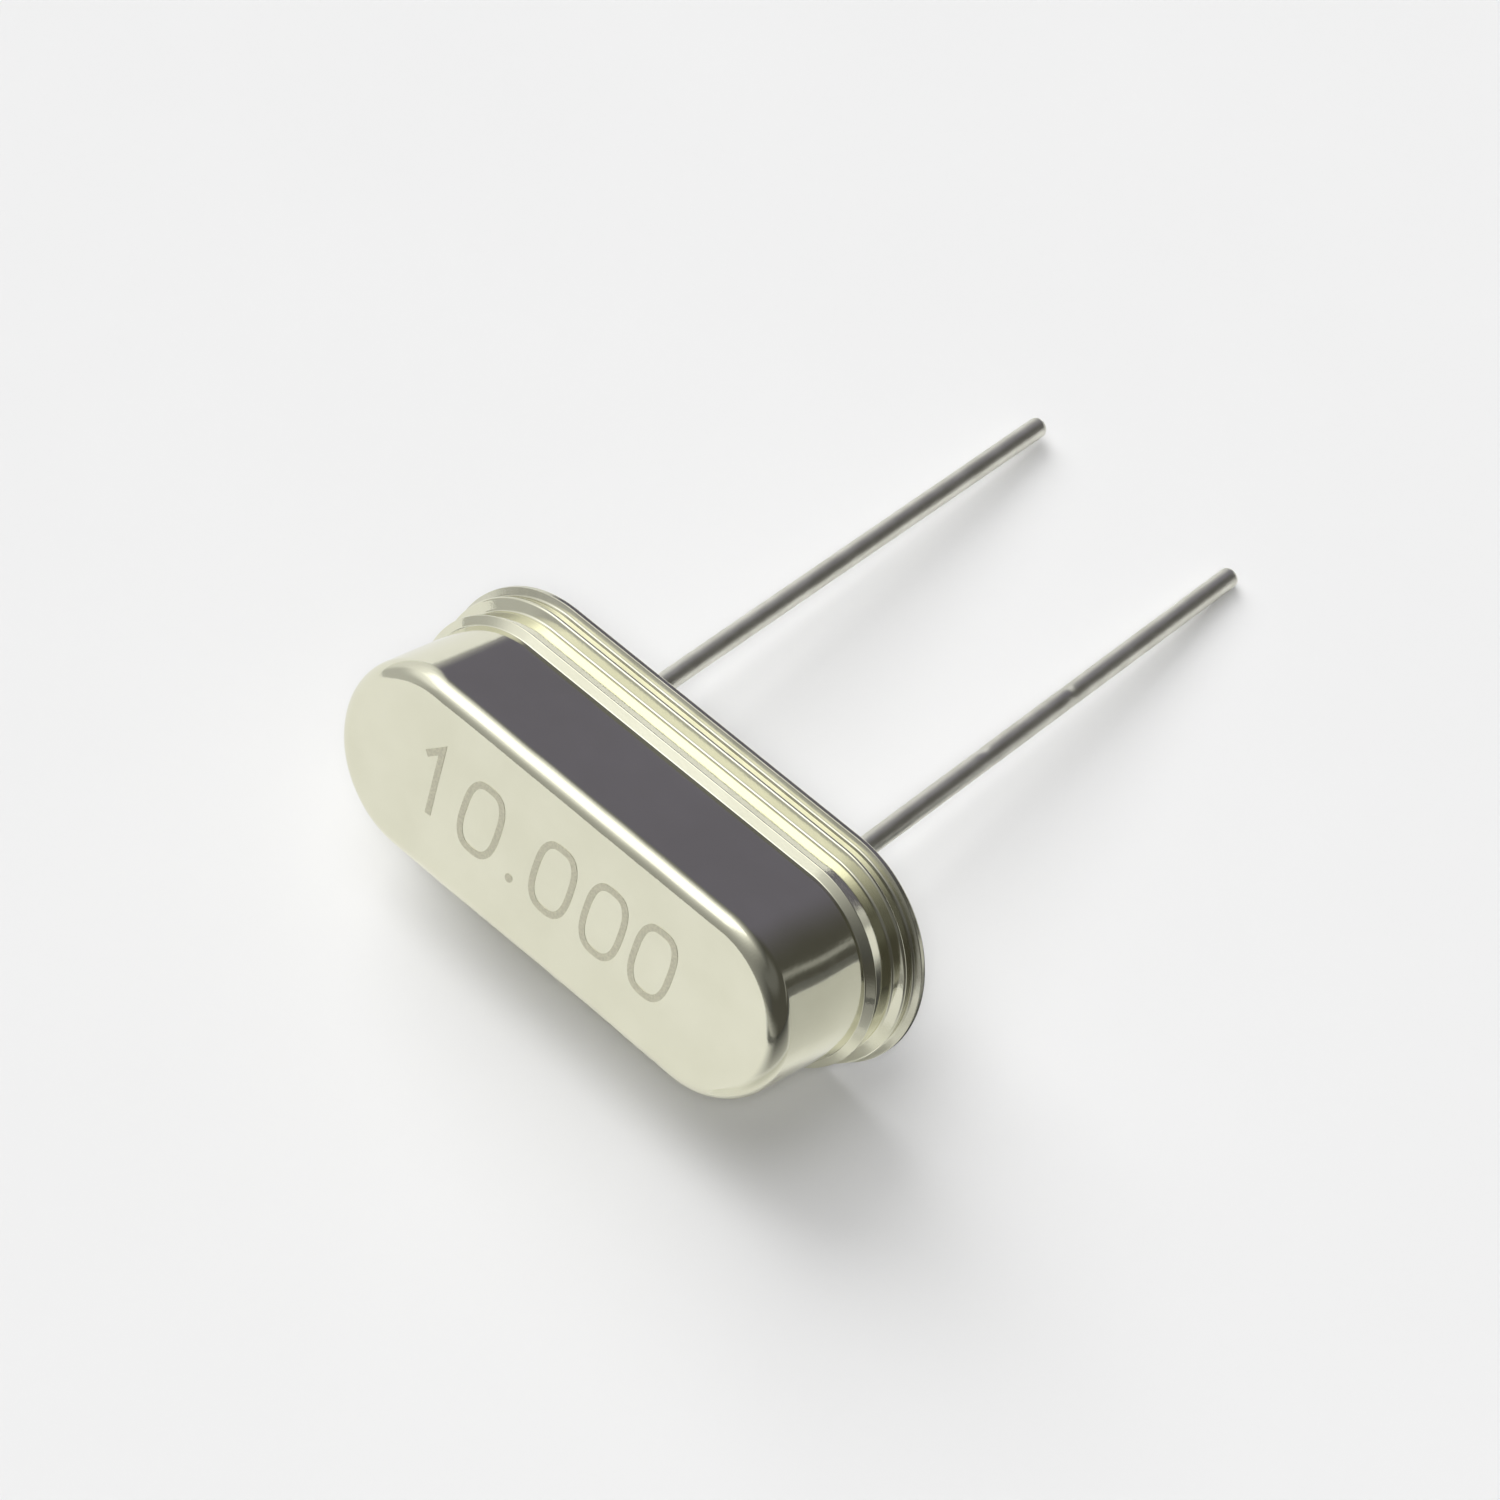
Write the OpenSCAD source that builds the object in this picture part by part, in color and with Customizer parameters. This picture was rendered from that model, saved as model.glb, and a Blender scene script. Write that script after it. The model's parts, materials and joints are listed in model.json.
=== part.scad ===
// Low-profile quartz crystal in a drawn metal can, with two wire leads bent a little out of line.
// It is drawn upright on its seating plane (z = 0, can up, leads down), then laid down as it rests:
// on the lower edge of its base flange and the tip of its less bent lead.

/* [Can] */
// Outside length of the can's straight wall
can_length = 10.3; // [9.8:0.05:12.5]
// Outside width of the can's straight wall
can_width = 3.66; // [3:0.02:4.6]
// Height of the can above the base flange
can_height = 3.08; // [2.8:0.02:4]
// Sheet thickness of the can
can_wall = 0.2; // [0.15:0.01:0.25]
// Outer radius where the can's top turns down into its wall
crown_radius = 0.37; // [0.3:0.01:0.5]
// How far the shoulder stands out from the wall
shoulder_width = 0.15; // [0.14:0.01:0.19]
// Height of the shoulder's face above the base flange
shoulder_height = 0.78; // [0.5:0.01:0.9]
// How far the welded lip stands out from the wall
lip_width = 0.3; // [0.26:0.005:0.4]
// Sheet thickness left in the lip after welding
lip_thickness = 0.2; // [0.15:0.01:0.25]
// Outer radius of the shoulder's fold
fold_radius = 0.06; // [0.04:0.01:0.07]
// Radius in the corners where a wall meets the shoulder or the lip
root_radius = 0.07; // [0.04:0.01:0.08]
// Radius on the lip's outer edge
lip_edge = 0.03; // [0.02:0.005:0.03]

/* [Base] */
// How far the base flange stands out past the lip
flange_margin = 0.075; // [0:0.005:0.1]
// Thickness of the base flange
flange_thickness = 0.25; // [0.2:0.01:0.35]
// Radius on the two edges of the base flange
rim_edge = 0.05; // [0.03:0.01:0.08]
// Height of the raised middle of the base above its flange
plateau_height = 0.8; // [0.5:0.02:1]
// Gap between the raised middle and the can's wall
plateau_gap = 0.1; // [0.05:0.01:0.15]
// Radius on the top edge of the raised middle
plateau_edge = 0.12; // [0.05:0.01:0.2]
// Diameter of each glass seal
seal_diameter = 1.46; // [1.2:0.02:1.6]
// How far the glass lies below the seating plane's metal
seal_recess = 0.04; // [0.02:0.01:0.08]

/* [Leads] */
// Wire diameter of the leads
lead_diameter = 0.38; // [0.3:0.01:0.5]
// Distance between the two leads where they leave the base
lead_pitch = 4.88; // [4:0.02:5.9]
// Straight length of each lead beyond its bend
lead_reach = 11.35; // [6:0.05:14]
// Length of lead between the base and its bend
lead_stub = 0.15; // [0.05:0.01:0.3]
// Radius of the bend at the middle of the wire
bend_radius = 0.6; // [0.4:0.05:1]
// Angle of the bend in the left lead
bend_left = 15.6; // [10:0.1:25]
// Angle of the bend in the right lead
bend_right = 14.9; // [10:0.1:25]
// Turn of the left lead's bend about the lead's own axis
splay_left = -1.5; // [-6:0.1:6]
// Turn of the right lead's bend about the lead's own axis
splay_right = 2.6; // [-6:0.1:6]
// Diameter of the flattened head on the inner end of each lead
head_diameter = 0.8; // [0.6:0.02:1]
// Thickness of that head
head_thickness = 0.12; // [0.08:0.01:0.2]

/* [Clips] */
// Width of the spring strip
clip_width = 1.1; // [0.8:0.02:1.4]
// Thickness of the spring strip
clip_thickness = 0.1; // [0.06:0.01:0.14]
// Inner radius of the strip's folds
clip_fold = 0.08; // [0.04:0.01:0.12]
// Height of the shelf's underside above the lead's head
clip_rise = 0.55; // [0.4:0.01:0.8]
// Clearance between the end of the shelf and the can's end wall
end_room = 0.58; // [0.4:0.01:0.7]
// How far the shelf runs out past the bead of adhesive
shelf_margin = 0.05; // [0.02:0.01:0.1]

/* [Quartz] */
// Width of the quartz strip
blank_width = 1.7; // [1.4:0.02:2]
// Thickness of the quartz strip
blank_thickness = 0.17; // [0.1:0.01:0.3]
// Length of each silver electrode
electrode_length = 3.4; // [2.5:0.05:4.5]
// Width of each silver electrode
electrode_width = 1.2; // [0.9:0.02:1.4]
// Width of the tab from an electrode to the strip's end
tab_width = 0.6; // [0.4:0.02:0.8]
// Thickness of the electrode films
film_thickness = 0.02; // [0.01:0.005:0.03]
// Gap between the strip and the shelf, filled by adhesive
bond_line = 0.05; // [0.04:0.005:0.08]
// Radius of each bead of conductive adhesive
bead_radius = 0.42; // [0.36:0.01:0.5]

/* [Hidden] */
$fn = 48;
LEFT = -1;
RIGHT = 1;
over = 0.5; // how far a cutting shape runs past what it cuts

can_half = can_width / 2;
straight = can_length - can_width; // straight run between the two round ends
base_half = can_half + lip_width + flange_margin;
top = flange_thickness + can_height;
plateau_half = can_half - can_wall - plateau_gap;
plateau_top = flange_thickness + plateau_height;
lead_radius = lead_diameter / 2;

head_top = plateau_top + head_thickness;
clip_foot = lead_pitch / 2 - head_diameter / 2; // inner end of the clip's foot
foot_length = head_diameter;
shelf_start = clip_foot + foot_length + 2 * clip_fold + clip_thickness;
shelf_end = can_length / 2 - can_wall - end_room;
blank_length = 2 * (shelf_end - shelf_margin - bead_radius);
shelf_top = head_top + clip_rise + clip_thickness;
blank_bottom = shelf_top + bond_line;
blank_top = blank_bottom + blank_thickness;

// Where a lead's tip lies: how far it has swung out, and its height on the upright part
function tip_out(bend, splay) = (bend_radius * (1 - cos(bend)) + lead_reach * sin(bend)) * cos(splay);
function tip_level(bend) = -lead_stub - bend_radius * sin(bend) - lead_reach * cos(bend);

// Tilt at which the flange's lower edge and the underside of one lead's tip lie in one plane
function touch_tilt(bend, splay) =
    let (across = tip_out(bend, splay) - lead_radius * cos(bend) + base_half - rim_edge,
         down = rim_edge - tip_level(bend) + lead_radius * sin(bend))
    atan2(across, down) + asin(rim_edge / norm([across, down]));
tilt = min(touch_tilt(bend_left, splay_left), touch_tilt(bend_right, splay_right));

// A point (y, z) of the upright part, once the part is laid down
function laid_y(y, z) = sin(tilt) * y - cos(tilt) * z;
function laid_z(y, z) = cos(tilt) * y + sin(tilt) * z;
function tip_reach(bend, splay) =
    laid_y(tip_out(bend, splay), tip_level(bend)) + lead_radius * sin(tilt - bend);
front = laid_y(crown_radius - can_half, top - crown_radius) - crown_radius;
back = max(tip_reach(bend_left, splay_left), tip_reach(bend_right, splay_right));
ground = laid_z(rim_edge - base_half, rim_edge) - rim_edge;

// Lays the upright part down, with the middle of its footprint's box at the origin
module laid_down() {
    translate([0, -(front + back) / 2, -ground]) rotate([90 - tilt, 0, 0]) children();
}

// Sweeps a half section, drawn outward from the middle plane, round an oblong with round ends
module oblong() {
    for (end = [LEFT, RIGHT])
        translate([end * straight / 2, 0, 0]) rotate([0, 0, end == RIGHT ? -90 : 90])
            rotate_extrude(angle = 180) children();
    rotate([90, 0, 90]) linear_extrude(height = straight, center = true) {
        children();
        mirror([1, 0]) children();
    }
}

// Half section of a block with its upper edge rounded
module crowned(half, height, edge) {
    square([half, height - edge]);
    square([half - edge, height]);
    translate([half - edge, height - edge]) circle(edge);
}

// Fillet in the corner between a wall at half and a ledge at level
module root_fillet(half, level, radius) {
    translate([half, level]) difference() {
        translate([-radius / 2, -radius / 2]) square(1.5 * radius);
        translate([radius, radius]) circle(radius);
    }
}

module can_section() {
    inner = can_half - can_wall;
    translate([0, flange_thickness]) difference() {
        union() {
            crowned(can_half, can_height, crown_radius);
            crowned(can_half + shoulder_width, shoulder_height, fold_radius);
            crowned(can_half + lip_width, lip_thickness, lip_edge);
            root_fillet(can_half, shoulder_height, root_radius);
            root_fillet(can_half + shoulder_width, lip_thickness, root_radius);
        }
        crowned(inner, can_height - can_wall, crown_radius - can_wall);
        square([inner + shoulder_width, shoulder_height - can_wall]);
        root_fillet(inner, shoulder_height - can_wall, fold_radius);
        translate([0, -over]) square([inner + shoulder_width, over]);
    }
}

module base_section() {
    square([base_half - rim_edge, flange_thickness]);
    translate([0, rim_edge]) square([base_half, flange_thickness - 2 * rim_edge]);
    for (level = [rim_edge, flange_thickness - rim_edge])
        translate([base_half - rim_edge, level]) circle(rim_edge);
    crowned(plateau_half, plateau_top, plateau_edge);
}

// Deep-drawn can: flat top, rounded crown, straight wall, shoulder and welded lip
module can() {
    color("#d9d7c8") laid_down() oblong() can_section();
}

// Header: flange and raised middle in one stamping, with an eyelet for each seal
module base() {
    color("#c2bfae") laid_down() difference() {
        oblong() base_section();
        for (side = [LEFT, RIGHT])
            translate([side * lead_pitch / 2, 0, -over]) cylinder(d = seal_diameter, h = plateau_top + 2 * over);
    }
}

// Glass that fills an eyelet round its lead
module glass_seal(side) {
    laid_down() translate([side * lead_pitch / 2, 0, seal_recess]) difference() {
        cylinder(d = seal_diameter, h = plateau_top - seal_recess);
        translate([0, 0, -over]) cylinder(r = lead_radius, h = plateau_top + 2 * over);
    }
}

module glass_seal_left() {
    color("#5f7a74") glass_seal(LEFT);
}

module glass_seal_right() {
    color("#5f7a74") glass_seal(RIGHT);
}

// Round wire from its flattened inner head, through the glass, to a bend and a straight free end.
// The wire is drawn from the centre of its bend, which lies in the plane x = 0.
module lead(side, bend, splay) {
    laid_down() translate([side * lead_pitch / 2, 0, 0]) rotate([0, 0, splay]) {
        translate([0, 0, plateau_top]) cylinder(d = head_diameter, h = head_thickness);
        translate([0, bend_radius, -lead_stub]) rotate([-90, 0, 0]) rotate([0, 90, 0]) {
            translate([bend_radius, 0, 0]) rotate([90, 0, 0])
                cylinder(r = lead_radius, h = lead_stub + plateau_top + head_thickness / 2);
            rotate_extrude(angle = bend) translate([bend_radius, 0]) circle(lead_radius);
            rotate([0, 0, bend]) translate([bend_radius, 0, 0]) rotate([-90, 0, 0])
                cylinder(r = lead_radius, h = lead_reach);
        }
    }
}

module lead_left() {
    color("#8f8f88") lead(LEFT, bend_left, splay_left);
}

module lead_right() {
    color("#8f8f88") lead(RIGHT, bend_right, splay_right);
}

// Quarter of a ring of sheet, in one quadrant round the fold's centre
module strip_fold(quadrant) {
    outer = clip_fold + clip_thickness;
    difference() {
        intersection() {
            circle(outer);
            rotate(90 * quadrant) square(outer);
        }
        circle(clip_fold);
    }
}

// Spring strip: a foot welded to the lead's head, a riser and a shelf under the quartz
module clip_shape(side) {
    pitch_line = clip_foot + foot_length;
    fold = clip_fold + clip_thickness;
    mirror([side == LEFT ? 1 : 0, 0, 0]) translate([0, clip_width / 2, head_top])
        rotate([90, 0, 0]) linear_extrude(height = clip_width) {
            translate([clip_foot, 0]) square([foot_length, clip_thickness]);
            translate([pitch_line, fold]) strip_fold(3);
            translate([pitch_line + clip_fold, fold])
                square([clip_thickness, clip_rise - clip_fold - fold]);
            translate([shelf_start, clip_rise - clip_fold]) strip_fold(1);
            translate([shelf_start, clip_rise]) square([shelf_end - shelf_start, clip_thickness]);
        }
}

module clip_left() {
    color("#b9b39a") laid_down() clip_shape(LEFT);
}

module clip_right() {
    color("#b9b39a") laid_down() clip_shape(RIGHT);
}

module blank_shape() {
    translate([-blank_length / 2, -blank_width / 2, blank_bottom])
        cube([blank_length, blank_width, blank_thickness]);
}

// Strip of quartz, whose thickness sets the frequency it rings at
module quartz_blank() {
    color("#e6ecec", 0.6) laid_down() blank_shape();
}

// Silver film on one face, with a tab that runs to one end of the strip
module film_shape(level, side) {
    translate([0, 0, level]) linear_extrude(height = film_thickness) {
        square([electrode_length, electrode_width], center = true);
        translate([side * blank_length / 4, 0]) square([blank_length / 2, tab_width], center = true);
    }
}

module top_film() {
    film_shape(blank_top, RIGHT);
}

module bottom_film() {
    film_shape(blank_bottom - film_thickness, LEFT);
}

module electrode_top() {
    color("#cfcfcf") laid_down() top_film();
}

module electrode_bottom() {
    color("#cfcfcf") laid_down() bottom_film();
}

// Bead that holds one end of the quartz to its shelf and carries the current
module adhesive(side) {
    laid_down() difference() {
        translate([side * blank_length / 2, 0, blank_bottom]) sphere(bead_radius);
        translate([side * blank_length / 2, 0, shelf_top - over])
            cube([4 * bead_radius, 4 * bead_radius, 2 * over], center = true);
        blank_shape();
        top_film();
        bottom_film();
    }
}

module adhesive_left() {
    color("#a9a49a") adhesive(LEFT);
}

module adhesive_right() {
    color("#a9a49a") adhesive(RIGHT);
}

can();
base();
glass_seal_left();
glass_seal_right();
lead_left();
lead_right();
clip_left();
clip_right();
quartz_blank();
electrode_top();
electrode_bottom();
adhesive_left();
adhesive_right();
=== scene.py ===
"""Looks of a low-profile quartz crystal: can, header, glass seals and two bent wire leads."""

import json
import logging
import math
from dataclasses import dataclass, field
from enum import Enum
from typing import Callable, Sequence

import bpy
import numpy as np
from mathutils import Matrix, Vector
from mathutils.geometry import tessellate_polygon


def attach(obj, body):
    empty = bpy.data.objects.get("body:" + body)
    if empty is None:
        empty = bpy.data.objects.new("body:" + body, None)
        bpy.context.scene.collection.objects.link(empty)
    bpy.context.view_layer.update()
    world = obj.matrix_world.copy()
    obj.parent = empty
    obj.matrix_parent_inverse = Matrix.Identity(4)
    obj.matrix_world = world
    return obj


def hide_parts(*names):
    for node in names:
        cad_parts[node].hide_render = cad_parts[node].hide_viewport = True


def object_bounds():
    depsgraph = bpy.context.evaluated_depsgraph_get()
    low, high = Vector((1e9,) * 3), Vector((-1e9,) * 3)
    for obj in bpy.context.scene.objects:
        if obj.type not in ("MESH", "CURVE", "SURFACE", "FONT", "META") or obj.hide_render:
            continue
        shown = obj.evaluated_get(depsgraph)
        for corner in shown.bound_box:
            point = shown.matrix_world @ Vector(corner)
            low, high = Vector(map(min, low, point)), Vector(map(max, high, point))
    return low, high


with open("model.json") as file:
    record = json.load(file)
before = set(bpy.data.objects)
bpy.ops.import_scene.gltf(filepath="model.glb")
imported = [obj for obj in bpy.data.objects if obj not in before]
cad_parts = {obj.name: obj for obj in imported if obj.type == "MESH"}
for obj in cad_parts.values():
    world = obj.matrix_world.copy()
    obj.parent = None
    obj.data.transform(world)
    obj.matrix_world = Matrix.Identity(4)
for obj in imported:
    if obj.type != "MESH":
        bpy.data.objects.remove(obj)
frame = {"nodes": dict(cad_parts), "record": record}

LOG = logging.getLogger("crystal")
CAD_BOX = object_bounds()
BODY = "root"
MM = 0.001
TINY = 1e-12
UP = np.array([0.0, 0.0, 1.0])
PAINT = "paint"  # the colour attribute of a painted sheet
MOST_NOISE = (0.3, 0.7)  # the range that nearly all of a noise lies in
MID_NOISE = (0.35, 0.65)  # a narrower range, for more contrast

Colour = tuple[float, float, float]
Span = tuple[float, float]  # low and high, or where a smooth change begins and ends
Corners = tuple[tuple[float, float, float], ...]  # radius, level and rounding of each corner
Patch = tuple[np.ndarray, np.ndarray]  # points and their normals
Bend = Callable[[np.ndarray, np.ndarray], Patch]  # a change made to a patch
Run = np.ndarray  # one smooth stretch of a section: rows of (radius, level, normal out, normal up)
Socket = bpy.types.NodeSocket


class End(Enum):
    """Which end of the can a part belongs to."""

    LEFT = -1
    RIGHT = 1


class Corner(Enum):
    """Whether an arc in a section bulges out of the metal or is hollowed into it."""

    ROUND = 1
    HOLLOW = -1


# ---------------------------------------------------------------- the seat's own frame


@dataclass(frozen=True)
class Seat:
    """The crystal's upright frame: z = 0 on its seating plane, +z towards the can's flat top."""

    origin: Vector
    across: Vector
    upper: Vector
    rise: Vector

    @classmethod
    def from_record(cls, record: dict) -> "Seat":
        """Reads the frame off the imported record's seating plane.

        Args:
            record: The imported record.

        Returns:
            The upright frame in row-frame metres.
        """
        mount = find_mount(record, "seating_plane")
        rise = -Vector(mount["axis"]).normalized()
        across = Vector((1.0, 0.0, 0.0))
        return cls(Vector(mount["pos_m"]), across, rise.cross(across), rise)

    def matrix(self) -> Matrix:
        """Matrix that takes upright metres to the row frame."""
        turn = Matrix((self.across, self.upper, self.rise)).transposed()
        return Matrix.Translation(self.origin) @ turn.to_4x4()

    def local(self, point: Sequence[float]) -> np.ndarray:
        """A row-frame point in metres as upright millimetres."""
        return np.array(self.matrix().inverted() @ Vector(point)) / MM

    def turned(self, direction: Sequence[float]) -> np.ndarray:
        """A row-frame direction as an upright one."""
        return np.array(self.matrix().to_3x3().inverted() @ Vector(direction))


def find_mount(record: dict, name: str) -> dict:
    """Finds a mount by its name.

    Args:
        record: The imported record.
        name: The mount's name.

    Returns:
        The mount's entry.
    """
    return next(mount for mount in record["mounts"] if mount["name"] == name)


# ---------------------------------------------------------------- sums on arrays


def unit(vectors: np.ndarray) -> np.ndarray:
    """Vectors scaled to length one along the last axis."""
    return vectors / np.maximum(np.linalg.norm(vectors, axis=-1, keepdims=True), TINY)


def round_angles(parts: int) -> np.ndarray:
    """Angles in radians that cut a full turn into equal parts, with none twice."""
    return np.linspace(0, 2 * math.pi, parts, endpoint=False)


def smooth_step(low: float, high: float, value: np.ndarray) -> np.ndarray:
    """0 below low, 1 above high, and a smooth rise between them."""
    share = np.clip((value - low) / (high - low), 0, 1)
    return share * share * (3 - 2 * share)


def band(rise: Span, fall: Span, value: np.ndarray) -> np.ndarray:
    """1 between a rise and a fall, 0 beyond them, and smooth across each of them."""
    return smooth_step(*rise, value) * (1 - smooth_step(*fall, value))


# ---------------------------------------------------------------- mesh making


class Skin:
    """Gathers patches of a surface, in upright millimetres, and turns them into one closed mesh."""

    GRAIN = 1e-5  # points closer than this, in millimetres, are one point

    def __init__(self) -> None:
        """Starts with no patches."""
        self.corners: list[np.ndarray] = []
        self.normals: list[np.ndarray] = []

    def add_grid(self, points: np.ndarray, normals: np.ndarray, closed: bool) -> None:
        """Adds a sheet of quads between rows of points.

        Args:
            points: Array (rows, columns, 3).
            normals: Outward normals of the same shape.
            closed: Whether the last row joins the first.
        """
        for store, grid in ((self.corners, points), (self.normals, normals)):
            if closed:
                grid = np.concatenate([grid, grid[:1]])
            cells = (grid[:-1, :-1], grid[1:, :-1], grid[1:, 1:], grid[:-1, 1:])
            store.append(np.stack(cells, axis=2).reshape(-1, 4, 3))

    def add_flat(self, corners: np.ndarray, normal: Sequence[float]) -> None:
        """Adds flat cells.

        Args:
            corners: Array (cells, 4, 3).
            normal: The outward normal that they share.
        """
        self.corners.append(corners)
        self.normals.append(np.broadcast_to(np.array(normal, float), corners.shape))

    def add_plate(self, rings: Sequence[np.ndarray], normal: Sequence[float]) -> None:
        """Adds a flat plate with holes.

        Args:
            rings: The outline first, then each hole, as arrays of points.
            normal: The plate's outward normal.
        """
        loops = [[Vector(point) for point in ring] for ring in rings]
        triangles = np.array(tessellate_polygon(loops))
        cells = np.column_stack([triangles, triangles[:, 2]])
        self.add_flat(np.concatenate(rings)[cells], normal)

    def cells(self) -> tuple[np.ndarray, np.ndarray]:
        """The cells' corners, in the order that faces outward.

        Returns:
            Corners and unit normals, each as an array (cells, 4, 3).
        """
        corners = np.concatenate(self.corners)
        normals = unit(np.concatenate(self.normals).astype(float))
        facing = np.cross(corners[:, 2] - corners[:, 0], corners[:, 3] - corners[:, 1])
        flat = np.linalg.norm(facing, axis=1) < TINY
        sides = (corners[flat, k] - corners[flat, 0] for k in (1, 2))
        facing[flat] = np.cross(*sides)
        wrong = (facing * normals.mean(axis=1)).sum(axis=1) < 0
        corners[wrong] = corners[wrong, ::-1]
        normals[wrong] = normals[wrong, ::-1]
        return corners, normals

    def build(self, name: str, seat: Seat) -> bpy.types.Object:
        """Joins the patches into an object that lies where the seat's frame puts it.

        Args:
            name: The piece's name.
            seat: The upright frame.

        Returns:
            The new object, with its shading normals set.
        """
        corners, normals = self.cells()
        keys = np.round(corners.reshape(-1, 3) / self.GRAIN).astype(np.int64)
        _, first, index = np.unique(keys, axis=0, return_index=True, return_inverse=True)
        points = corners.reshape(-1, 3)[first]
        faces: list[list[int]] = []
        shading: list[np.ndarray] = []
        for cell, cell_normals in zip(index.reshape(-1, 4), normals):
            keep = [k for k in range(4) if cell[k] != cell[k - 1]]
            if len(keep) >= 3 and len({cell[k] for k in keep}) == len(keep):
                faces.append([int(cell[k]) for k in keep])
                shading.extend(cell_normals[keep])
        matrix = seat.matrix()
        spin = np.array(matrix.to_3x3()).T
        mesh = bpy.data.meshes.new(name)
        mesh.from_pydata((points * MM @ spin + np.array(matrix.translation)).tolist(), [], faces)
        mesh.shade_smooth()
        mesh.normals_split_custom_set((np.array(shading) @ spin).tolist())
        mesh.validate(clean_customdata=False)
        piece = bpy.data.objects.new(name, mesh)
        bpy.context.scene.collection.objects.link(piece)
        return piece


class Section:
    """A half section drawn outward from the middle plane, as smooth runs with their normals."""

    SMOOTH = 0.98  # cosine of the largest turn between two lines of one smooth run
    APART = 1e-7  # points closer than this, in millimetres, are one point
    BEHIND = 0.98  # most of the line behind a corner that its rounding takes up
    AHEAD = 0.49  # most of the line ahead

    def __init__(self, start: Span, side: int = 1) -> None:
        """Starts at a point.

        Args:
            start: Radius and level of the first point.
            side: 1 if the metal lies to the right of the way the section is drawn, -1 if to its left.
        """
        self.at = start
        self.side = side
        self.runs: list[list[tuple[float, float, float, float]]] = [[]]

    def line(self, radius: float, level: float, parts: int = 1) -> "Section":
        """Draws a straight line to a point.

        Args:
            radius: Radius of its end.
            level: Level of its end.
            parts: How many pieces it is cut into.

        Returns:
            The section, so that calls can follow on.
        """
        step = np.array([radius - self.at[0], level - self.at[1]])
        length = float(np.hypot(*step))
        out, up = -self.side * step[1] / length, self.side * step[0] / length
        last = self.runs[-1][-1:]
        if last and last[0][2] * out + last[0][3] * up < self.SMOOTH:
            self.runs.append([])
        for share in (k / parts for k in range(parts + 1)):
            at = (self.at[0] + step[0] * share, self.at[1] + step[1] * share)
            self.runs[-1].append((*at, out, up))
        self.at = (radius, level)
        return self

    def arc(
        self,
        centre: Span,
        radius: float,
        begin: float,
        end: float,
        corner: Corner = Corner.ROUND,
        parts: int = 8,
    ) -> "Section":
        """Draws an arc whose normals point away from its centre, or towards it in a hollow.

        Args:
            centre: Radius and level of the centre.
            radius: The arc's radius.
            begin: Angle of its start in degrees, from straight out.
            end: Angle of its end.
            corner: Whether the corner is round or hollow.
            parts: How many pieces it is cut into.

        Returns:
            The section, so that calls can follow on.
        """
        for angle in np.radians(np.linspace(begin, end, parts + 1)):
            out, up = math.cos(angle), math.sin(angle)
            at = (centre[0] + radius * out, centre[1] + radius * up)
            self.runs[-1].append((*at, corner.value * out, corner.value * up))
        self.at = self.runs[-1][-1][:2]
        return self

    def through(self, corners: Corners, parts: int = 7) -> "Section":
        """Draws straight lines from corner to corner, each corner but the last rounded.

        Args:
            corners: Radius, level and rounding of each corner.
            parts: How many pieces each rounding is cut into.

        Returns:
            The section, so that calls can follow on.
        """
        for here, following in zip(corners[:-1], corners[1:]):
            corner, rounding = np.array(here[:2]), here[2]
            back = np.array(self.at) - corner
            ahead = np.array(following[:2]) - corner
            reach = [float(np.hypot(*way)) for way in (back, ahead)]
            back, ahead = back / reach[0], ahead / reach[1]
            half = math.acos(float(np.clip(back @ ahead, -1, 1))) / 2
            cut = min(rounding / math.tan(half), self.BEHIND * reach[0], self.AHEAD * reach[1])
            radius = cut * math.tan(half)
            middle = corner + unit(back + ahead) * radius / math.sin(half)
            begin, end = (corner + way * cut - middle for way in (back, ahead))
            angles = [math.degrees(math.atan2(way[1], way[0])) for way in (begin, end)]
            swing = (angles[1] - angles[0] + 180) % 360 - 180
            kind = Corner.ROUND if swing * self.side < 0 else Corner.HOLLOW
            self.line(*(corner + back * cut), parts=2)
            self.arc(tuple(middle), radius, angles[0], angles[0] + swing, kind, parts)
        return self.line(*corners[-1][:2])

    def arrays(self) -> list[Run]:
        """The runs as arrays, with no point twice in a row.

        Returns:
            One array for each run of two points or more.
        """
        out = []
        for run in self.runs:
            rows = np.array(run)
            apart = np.abs(np.diff(rows[:, :2], axis=0)).max(axis=1) > self.APART
            out.append(rows[np.concatenate([[True], apart])])
        return [rows for rows in out if len(rows) > 1]


class Rail:
    """A closed level path that a half section is swept round."""

    def stations(self) -> np.ndarray:
        """Rows of (x, y, out x, out y) round the path, with no station twice."""
        raise NotImplementedError

    def sweep(self, skin: Skin, runs: Sequence[Run], bend: Bend | None = None) -> None:
        """Sweeps runs round the path into a skin.

        Args:
            skin: The skin that takes the patches.
            runs: The section's runs.
            bend: A change made to the points and normals, or none.
        """
        x, y, out_x, out_y = self.stations().T[..., None]
        for run in runs:
            radius, level, out, up = run.T
            points = np.broadcast_arrays(x + out_x * radius, y + out_y * radius, level)
            normals = np.broadcast_arrays(out_x * out, out_y * out, up)
            patch = np.stack(points, -1), np.stack(normals, -1)
            skin.add_grid(*(bend(*patch) if bend else patch), closed=True)

    def ring(self, radius: float, level: float) -> np.ndarray:
        """The path's outline at one radius and level.

        Args:
            radius: How far out it lies.
            level: Its level.

        Returns:
            One row of x, y and z for each station.
        """
        x, y, out_x, out_y = self.stations().T
        return np.column_stack([x + out_x * radius, y + out_y * radius, np.full(len(x), level)])


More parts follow.
